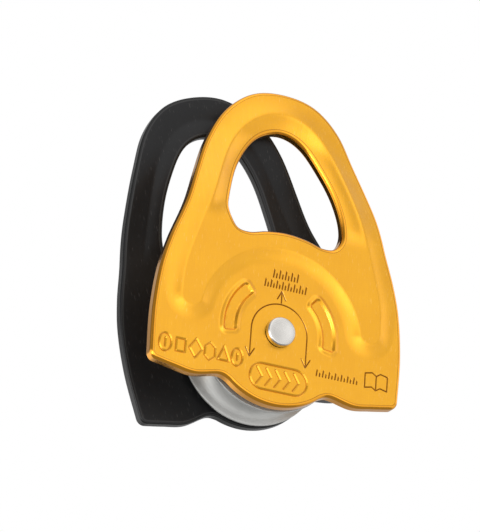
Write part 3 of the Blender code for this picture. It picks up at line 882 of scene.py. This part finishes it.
def finish_plate(name, polygons, vertices, normals, flat_map, rim_share, mark_and_groove_shade):
    """Turn round the faces that look inwards, then store normals, map and finish attributes."""
    mesh = bpy.data.meshes.new(name)
    mesh.from_pydata(vertices.tolist(), [], [[int(i) for i in polygon] for polygon in polygons])
    face_normal = np.empty(len(mesh.polygons) * 3)
    mesh.polygons.foreach_get("normal", face_normal)
    starts_at = np.array([polygon.loop_start for polygon in mesh.polygons])
    against = (face_normal.reshape(-1, 3) * normals[starts_at]).sum(1) < 0
    ordered, ordered_normals = [], []
    for polygon, flip, at in zip(polygons, against, starts_at):
        block = normals[at:at + len(polygon)]
        ordered.append([int(i) for i in (polygon[::-1] if flip else polygon)])
        ordered_normals.append(block[::-1] if flip else block)
    mesh.clear_geometry()
    mesh.from_pydata(vertices.tolist(), [], ordered)
    layer = mesh.uv_layers.new(name="plate_map")
    corner_vertex = np.concatenate([np.array(polygon) for polygon in ordered])
    layer.data.foreach_set("uv", flat_map[corner_vertex].ravel().astype(np.float32))
    for label, values in (("rim", rim_share), ("mark", mark_and_groove_shade)):
        attribute = mesh.attributes.new(label, "FLOAT", "POINT")
        attribute.data.foreach_set("value", values.astype(np.float32))
    mesh.shade_smooth()
    mesh.normals_split_custom_set(np.vstack(ordered_normals).tolist())
    return mesh


def make_brushed_grain():
    """Fine streaks up the plate, soft patches and a few hair scratches."""
    group, enter, leave = new_group(
        "brushed_grain",
        [("Vector", "NodeSocketVector", None), ("Streaks Across", "NodeSocketFloat", 430.0),
         ("Streaks Along", "NodeSocketFloat", 12.0)],
        [("Streaks", "NodeSocketFloat"), ("Patches", "NodeSocketFloat"), ("Scratches", "NodeSocketFloat")])
    nodes, links = group.nodes, group.links
    split = nodes.new("ShaderNodeSeparateXYZ")
    links.new(enter.outputs["Vector"], split.inputs[0])
    stretched = nodes.new("ShaderNodeCombineXYZ")
    links.new(math_node(nodes, links, "MULTIPLY", split.outputs["X"], enter.outputs["Streaks Across"]),
              stretched.inputs["X"])
    links.new(math_node(nodes, links, "MULTIPLY", split.outputs["Y"], enter.outputs["Streaks Along"]),
              stretched.inputs["Y"])
    streaks = noise(nodes, links, stretched.outputs[0], 1.0, 4.0, 0.7)
    links.new(streaks, leave.inputs["Streaks"])
    patches = noise(nodes, links, enter.outputs["Vector"], 9.0, 4.0, 0.6)
    links.new(patches, leave.inputs["Patches"])
    lean = nodes.new("ShaderNodeMapping")
    lean.inputs["Rotation"].default_value = (0.0, 0.0, 0.5)
    lean.inputs["Scale"].default_value = (900.0, 55.0, 1.0)
    links.new(enter.outputs["Vector"], lean.inputs["Vector"])
    hairs = noise(nodes, links, lean.outputs[0], 1.0, 0.0)
    links.new(spread(nodes, links, hairs, 0.0, 1.0, 0.75, 0.83), leave.inputs["Scratches"])
    return group


BRUSHED_GRAIN = make_brushed_grain()


def read_attribute(nodes, name):
    """Value stored on the piece's own points."""
    node = nodes.new("ShaderNodeAttribute")
    node.attribute_name = name
    return node.outputs["Fac"]


def mixed(nodes, links, factor, first, second):
    """Mix two colours, each a socket or a plain colour."""
    node = nodes.new("ShaderNodeMix")
    node.data_type = "RGBA"
    for label, value in (("A", first), ("B", second)):
        if isinstance(value, tuple):
            node.inputs[label].default_value = (*value, 1.0)
        else:
            links.new(value, node.inputs[label])
    links.new(factor, node.inputs["Factor"])
    return node.outputs["Result"]


def anodised(name, colour, deep, painted_rim_tone, mark_and_painted_light_colour, worn, metallic, face_roughness, rim_roughness,
             grain_depth):
    """Dyed anodised aluminium: brushed satin faces, brighter polished rims in a painted tone of light and
    shade, a painted line where face meets rim, matt engraved marks with painted shade in the bold ones.
    """
    material, nodes, links, shader = new_material(name, colour, face_roughness, metallic)
    plate_map = nodes.new("ShaderNodeUVMap")
    plate_map.uv_map = "plate_map"
    grain = place_group(nodes, links, BRUSHED_GRAIN, {}, plate_map.outputs["UV"])
    rim, mark = read_attribute(nodes, "rim"), read_attribute(nodes, "mark")
    tone = mixed(nodes, links, spread(nodes, links, grain.outputs["Patches"], 0.0, 0.6), colour, deep)
    tone = mixed(nodes, links, spread(nodes, links, grain.outputs["Streaks"], 0.0, 0.5), tone, deep)
    scuffs = math_node(nodes, links, "MULTIPLY", grain.outputs["Scratches"], 0.5)
    tone = mixed(nodes, links, scuffs, tone, worn)
    # painted light and shade: the rounded rims are painted their own tone, deeper orange on the gold and a
    # little lighter on the black
    tone = mixed(nodes, links, math_node(nodes, links, "MULTIPLY", rim, 0.8), tone, painted_rim_tone)
    # painted shade: a dark line is painted where the flat face meets the rounded rim; on the black plate it
    # is a faint lighter painted line
    not_rim = math_node(nodes, links, "SUBTRACT", 1.0, rim)
    edge = math_node(nodes, links, "MULTIPLY", math_node(nodes, links, "MULTIPLY", rim, not_rim), 3.2)
    tone = mixed(nodes, links, edge, tone, mark_and_painted_light_colour)
    # the strokes' colour: the fine strokes' own dark colour, with painted shade in the bold grooves
    tone = mixed(nodes, links, spread(nodes, links, mark, 0.0, 1.0, 0.05, 0.5), tone, mark_and_painted_light_colour)
    links.new(tone, shader.inputs["Base Color"])
    face = spread(nodes, links, grain.outputs["Streaks"], face_roughness - 0.04, face_roughness + 0.06)
    scratched = math_node(nodes, links, "MULTIPLY_ADD", grain.outputs["Scratches"], 0.08, face)
    polish = nodes.new("ShaderNodeMix")
    links.new(rim, polish.inputs["Factor"])
    links.new(scratched, polish.inputs["A"])
    polish.inputs["B"].default_value = rim_roughness
    dull = nodes.new("ShaderNodeMix")
    links.new(mark, dull.inputs["Factor"])
    links.new(polish.outputs["Result"], dull.inputs["A"])
    dull.inputs["B"].default_value = 0.6
    links.new(dull.outputs["Result"], shader.inputs["Roughness"])
    height = math_node(nodes, links, "MULTIPLY_ADD", grain.outputs["Scratches"], -0.6,
                       grain.outputs["Streaks"])
    bump(nodes, links, shader, height, grain_depth)
    return material, shader


gold_anodised, gold_shader = anodised(
    "gold_anodised", colour=(0.79, 0.39, 0.022), deep=(0.70, 0.32, 0.02), painted_rim_tone=(0.74, 0.31, 0.016),
    mark_and_painted_light_colour=(0.30, 0.12, 0.012), worn=(0.9, 0.6, 0.2), metallic=1.0, face_roughness=0.32,
    rim_roughness=0.14, grain_depth=0.000012)
gold_shader.inputs["Coat Weight"].default_value = 0.22
gold_shader.inputs["Coat Roughness"].default_value = 0.12
gold_shader.inputs["Coat IOR"].default_value = 1.6
black_anodised, black_shader = anodised(
    "black_anodised", colour=(0.005, 0.005, 0.0055), deep=(0.009, 0.009, 0.0095),
    painted_rim_tone=(0.008, 0.008, 0.008), mark_and_painted_light_colour=(0.03, 0.03, 0.03), worn=(0.12, 0.115, 0.11),
    metallic=0.0, face_roughness=0.38, rim_roughness=0.26, grain_depth=0.000008)
black_shader.inputs["Specular IOR Level"].default_value = 0.23

front_mesh = build_plate("front_plate_pressed", fine_marks, bold_marks, False, 0.0)
show("front_plate_pressed", front_mesh, gold_anodised, "front_plate", "gold_anodised", "front_side_plate")
rear_mesh = build_plate("rear_plate_pressed", load_arrows, [], True, SWING)
show("rear_plate_pressed", rear_mesh, black_anodised, "rear_plate", "black_anodised", "rear_side_plate")


# ============================================================ sheave
# Wheel turned from aluminium bar: its profile is swept round the axle by a node tree. A
# round rope groove between thin rims, a recess each side and a stepped seat for the bearing.

# radii and half widths in mm: groove bottom, rim, side, rim land, recessed hub and bearing seat
SHEAVE = {"tread": 12.5, "rim": 17.6, "half": 5.6, "land": 0.7, "hub_half": 4.0, "hub": 11.0,
          "seat": 9.65, "lip": 8.65, "stop": -3.15}


def named_input(tree, modifier, values):
    """Set a node modifier's inputs by their names."""
    for item in tree.interface.items_tree:
        if item.item_type == "SOCKET" and item.in_out == "INPUT" and item.name in values:
            modifier[item.identifier] = values[item.name]


def node_tree(name, inputs):
    """Geometry node tree with the given inputs, and a helper that adds nodes to it."""
    tree = bpy.data.node_groups.new(name, "GeometryNodeTree")
    tree.interface.new_socket("Geometry", in_out="INPUT", socket_type="NodeSocketGeometry")
    tree.interface.new_socket("Geometry", in_out="OUTPUT", socket_type="NodeSocketGeometry")
    for label, kind, value in inputs:
        socket = tree.interface.new_socket(label, in_out="INPUT", socket_type=kind)
        if value is not None:
            socket.default_value = value
    tree.interface.new_socket("Material", in_out="INPUT", socket_type="NodeSocketMaterial")

    def add(kind, **links_and_values):
        node = tree.nodes.new(kind)
        for label, value in links_and_values.items():
            socket = node.inputs[label.replace("_", " ")]
            if isinstance(value, bpy.types.NodeSocket):
                tree.links.new(value, socket)
            else:
                socket.default_value = value
        return node

    return tree, add, tree.nodes.new("NodeGroupInput"), tree.nodes.new("NodeGroupOutput")


def round_the_axle(add, shape):
    """Turn a shape made about Z so that it stands round the axle."""
    return add("GeometryNodeTransform", Geometry=shape, Rotation=(math.pi / 2, 0.0, 0.0),
               Translation=(0.0, AXIS_Y, 0.0)).outputs[0]


def end_tree(tree, add, enter, leave, shape):
    """Make the shape real and give it its material."""
    real = add("GeometryNodeRealizeInstances", Geometry=shape)
    finished = add("GeometryNodeSetMaterial", Geometry=real.outputs[0], Material=enter.outputs["Material"])
    tree.links.new(finished.outputs[0], leave.inputs["Geometry"])


def make_swept_wheel():
    """Sweep a closed profile of (radius, offset along the axle) round a circle."""
    tree, add, enter, leave = node_tree("swept_wheel", [("Steps", "NodeSocketInt", 96),
                                                        ("Sweep Radius", "NodeSocketFloat", 0.01)])
    circle = add("GeometryNodeCurvePrimitiveCircle", Resolution=enter.outputs["Steps"],
                 Radius=enter.outputs["Sweep Radius"])
    profile = add("GeometryNodeMeshToCurve", Mesh=enter.outputs["Geometry"])
    swept = add("GeometryNodeCurveToMesh", Curve=circle.outputs[0], Profile_Curve=profile.outputs[0])
    joined = add("GeometryNodeMergeByDistance", Geometry=swept.outputs[0], Distance=0.000001)
    end_tree(tree, add, enter, leave, round_the_axle(add, joined.outputs[0]))
    return tree


def grown_mesh(name, start, tree, values, crisp):
    """Run a node tree over a starting mesh and keep its result as a plain mesh."""
    grower = bpy.data.objects.new(name + "_grower", start)
    bpy.context.collection.objects.link(grower)
    modifier = grower.modifiers.new("grow", "NODES")
    modifier.node_group = tree
    named_input(tree, modifier, values)
    bpy.context.view_layer.update()
    evaluated = grower.evaluated_get(bpy.context.evaluated_depsgraph_get())
    mesh = bpy.data.meshes.new_from_object(evaluated)
    mesh.name = name
    grower.modifiers.remove(modifier)
    bpy.data.objects.remove(grower)
    bm = bmesh.new()
    bm.from_mesh(mesh)
    bmesh.ops.recalc_face_normals(bm, faces=bm.faces)
    bm.to_mesh(mesh)
    bm.free()
    shade(mesh, crisp)
    return mesh


SWEPT_WHEEL = make_swept_wheel()


def swept_mesh(name, profile, material, steps, crisp=32.0):
    """Wheel of a profile given in mm as (radius, offset from the middle plane)."""
    sweep = sum(radius for radius, _ in profile) / len(profile) * MM
    line = bpy.data.meshes.new(name + "_profile")
    line.from_pydata([(radius * MM - sweep, offset * MM, 0.0) for radius, offset in profile],
                     [(i, (i + 1) % len(profile)) for i in range(len(profile))], [])
    return grown_mesh(name, line, SWEPT_WHEEL,
                      {"Steps": steps, "Sweep Radius": sweep, "Material": material}, crisp)


def sheave_profile():
    """Rope groove, rounded rims, recessed sides and the bearing seat."""
    mouth = SHEAVE["half"] - SHEAVE["land"]
    depth = SHEAVE["rim"] - SHEAVE["tread"]
    groove_radius = (mouth ** 2 + depth ** 2) / (2 * depth)
    reach = math.asin(mouth / groove_radius) * 0.985
    groove = [(SHEAVE["tread"] + groove_radius * (1 - math.cos(reach * t)),
               groove_radius * math.sin(reach * t)) for t in np.linspace(-1.0, 1.0, 25)]
    side = [(SHEAVE["rim"], mouth + 0.12, 0.05), (SHEAVE["rim"], SHEAVE["half"], 0.2),
            (SHEAVE["rim"] - 2.1, SHEAVE["half"], 0.15), (SHEAVE["rim"] - 2.35, SHEAVE["half"] - 0.2, 0.15),
            (SHEAVE["hub"] + 1.8, SHEAVE["half"] - 0.25, 0.5), (SHEAVE["hub"] + 0.2, SHEAVE["hub_half"], 0.5)]
    bore = [(SHEAVE["seat"] + 0.25, SHEAVE["hub_half"], 0.0),
            (SHEAVE["seat"], SHEAVE["hub_half"] - 0.25, 0.0),
            (SHEAVE["seat"], SHEAVE["stop"], 0.0), (SHEAVE["lip"], SHEAVE["stop"], 0.0),
            (SHEAVE["lip"], -SHEAVE["hub_half"] + 0.2, 0.0), (SHEAVE["lip"] + 0.2, -SHEAVE["hub_half"], 0.0)]
    other = [(radius, -offset, corner) for radius, offset, corner in reversed(side)]
    corners = [(radius, offset, 0.0) for radius, offset in groove] + side + bore + other
    return rounded(corners, 0.0)


turned_aluminium = turned_metal("turned_aluminium", (0.47, 0.47, 0.455), 0.42, 4600.0, 0.00002,
                                metallic=0.7)
sheave_mesh = swept_mesh("sheave_turned", sheave_profile(), turned_aluminium, 192)
show("sheave_turned", sheave_mesh, turned_aluminium, "sheave", "turned_aluminium", "sheave")


# ============================================================ bearing races
# Two hardened steel rings with ground raceways. The outer one is pressed into the sheave,
# the inner one sits on the pin between the collars.

PITCH_RADIUS = 6.5
BALL_RADIUS = 1.75
RACE_HALF = 3.0
RACE_LAND = 1.2

bearing_steel = turned_metal("bearing_steel", (0.56, 0.56, 0.57), 0.16, 7000.0, 0.000005)


def raceway(outwards):
    """Groove for the balls, from one side of a race to the other."""
    radius = BALL_RADIUS + 0.12
    reach = math.acos(RACE_LAND / radius)
    return [(PITCH_RADIUS + outwards * radius * math.cos(reach * t), radius * math.sin(reach * t), 0.0)
            for t in np.linspace(-1.0, 1.0, 15)]


for race, outwards, back, body in (("outer", 1, 9.35, "sheave"), ("inner", -1, 3.65, "axle")):
    face = PITCH_RADIUS + outwards * RACE_LAND
    section = ([(face, -RACE_HALF, 0.12)] + raceway(outwards)
               + [(face, RACE_HALF, 0.12), (back, RACE_HALF, 0.25), (back, -RACE_HALF, 0.25)])
    race_mesh = swept_mesh(race + "_race_ground", rounded(section, 0.0, 3), bearing_steel, 128)
    show(race + "_race_ground", race_mesh, bearing_steel, body, "bearing_steel",
         "bearing_%s_race" % race)


# ============================================================ balls
# Seven polished steel balls, set round the pitch circle by a node tree; they are free to
# roll between the races and are carried round by the cage.

BALL_COUNT = 7
RING_INPUTS = [("Count", "NodeSocketInt", BALL_COUNT),
               ("Pitch Radius", "NodeSocketFloat", PITCH_RADIUS * MM)]


def spheres_on_pitch_circle(add, enter, radius, segments, rings):
    """An instance of a sphere at each of the balls' places."""
    circle = add("GeometryNodeMeshCircle", Vertices=enter.outputs["Count"],
                 Radius=enter.outputs["Pitch Radius"])
    spots = add("GeometryNodeMeshToPoints", Mesh=circle.outputs[0])
    sphere = add("GeometryNodeMeshUVSphere", Segments=segments, Rings=rings, Radius=radius)
    spheres = add("GeometryNodeInstanceOnPoints", Points=spots.outputs[0], Instance=sphere.outputs[0])
    return round_the_axle(add, spheres.outputs[0])


def make_ball_ring():
    """Balls on the pitch circle, as one mesh."""
    tree, add, enter, leave = node_tree(
        "ball_ring", RING_INPUTS + [("Ball Radius", "NodeSocketFloat", BALL_RADIUS * MM)])
    balls = spheres_on_pitch_circle(add, enter, enter.outputs["Ball Radius"], 40, 24)
    end_tree(tree, add, enter, leave, balls)
    return tree


polished_steel, nodes, links, shader = new_material("polished_ball_steel", (0.6, 0.6, 0.61), 0.08, 1.0)
smears = place_group(nodes, links, TURNED_MARKS, {"Rings": 900.0})
links.new(spread(nodes, links, smears.outputs["Patches"], 0.05, 0.14), shader.inputs["Roughness"])
BALL_RING = make_ball_ring()
ball_values = {"Count": BALL_COUNT, "Pitch Radius": PITCH_RADIUS * MM, "Ball Radius": BALL_RADIUS * MM}
ball_mesh = grown_mesh("balls_polished", bpy.data.meshes.new("ball_start"), BALL_RING,
                       {**ball_values, "Material": polished_steel}, 80.0)
show("balls_polished", ball_mesh, polished_steel, "ball_train", "bearing_steel",
     *["bearing_ball_%d" % number for number in range(1, BALL_COUNT + 1)])


# ============================================================ ball cage
# One-piece crown moulded in natural nylon: a ring beside the balls, with a round pocket cut
# in it for each ball. It snaps over the balls and travels round with them.

POCKET_RADIUS = BALL_RADIUS + 0.2
CAGE_HALF_WIDTH = 0.85
CAGE_MOUTH = -1.0                     # offsets of the crown's open side and of its back, mm
CAGE_BACK = 2.3


def make_crown():
    """Ring with a pocket taken out round every place on the pitch circle."""
    tree, add, enter, leave = node_tree(
        "crown_cage", RING_INPUTS + [("Pocket Radius", "NodeSocketFloat", POCKET_RADIUS * MM)])
    pockets = spheres_on_pitch_circle(add, enter, enter.outputs["Pocket Radius"], 32, 18)
    cutters = add("GeometryNodeRealizeInstances", Geometry=pockets)
    cut = tree.nodes.new("GeometryNodeMeshBoolean")
    cut.operation = "DIFFERENCE"
    cut.solver = "EXACT"
    tree.links.new(enter.outputs["Geometry"], cut.inputs["Mesh 1"])
    tree.links.new(cutters.outputs[0], cut.inputs["Mesh 2"])
    end_tree(tree, add, enter, leave, cut.outputs["Mesh"])
    return tree


CROWN = make_crown()
crown_inner, crown_outer = PITCH_RADIUS - CAGE_HALF_WIDTH, PITCH_RADIUS + CAGE_HALF_WIDTH
crown_section = rounded([(crown_inner, CAGE_MOUTH), (crown_outer, CAGE_MOUTH),
                         (crown_outer, CAGE_BACK), (crown_inner, CAGE_BACK)], 0.15, 3)
crown_ring = swept_mesh("crown_ring", crown_section, nylon, 16 * BALL_COUNT)
crown_values = {"Count": BALL_COUNT, "Pitch Radius": PITCH_RADIUS * MM,
                "Pocket Radius": POCKET_RADIUS * MM, "Material": nylon}
cage_mesh = grown_mesh("cage_moulded", crown_ring, CROWN, crown_values, 35.0)
show("cage_moulded", cage_mesh, nylon, "ball_train", "nylon", "bearing_cage")


# ============================================================ bearing seals
# Black rubber-faced shields pressed into the outer race, with a moulded step near the inner
# lip; they stay just clear of the inner race.

seal_rubber, nodes, links, shader = new_material("seal_rubber", (0.012, 0.012, 0.013), 0.55, 0.0)
rubber_marks = place_group(nodes, links, TURNED_MARKS, {"Rings": 3000.0})
links.new(spread(nodes, links, rubber_marks.outputs["Patches"], 0.45, 0.68), shader.inputs["Roughness"])
bump(nodes, links, shader, rubber_marks.outputs["Patches"], 0.00002)

for side, facing in (("front", -1), ("rear", 1)):
    section = rounded([(5.45, 2.5), (7.55, 2.5), (7.55, 2.85), (7.3, 2.85), (7.15, 2.72), (6.3, 2.72),
                       (6.1, 2.85), (5.6, 2.85), (5.45, 2.75)], 0.06, 2)
    section = [(radius, facing * offset) for radius, offset in section]
    seal_mesh = swept_mesh(side + "_seal_moulded", section, seal_rubber, 112, 40.0)
    show(side + "_seal_moulded", seal_mesh, seal_rubber, "sheave", "seal_rubber", side + "_bearing_seal")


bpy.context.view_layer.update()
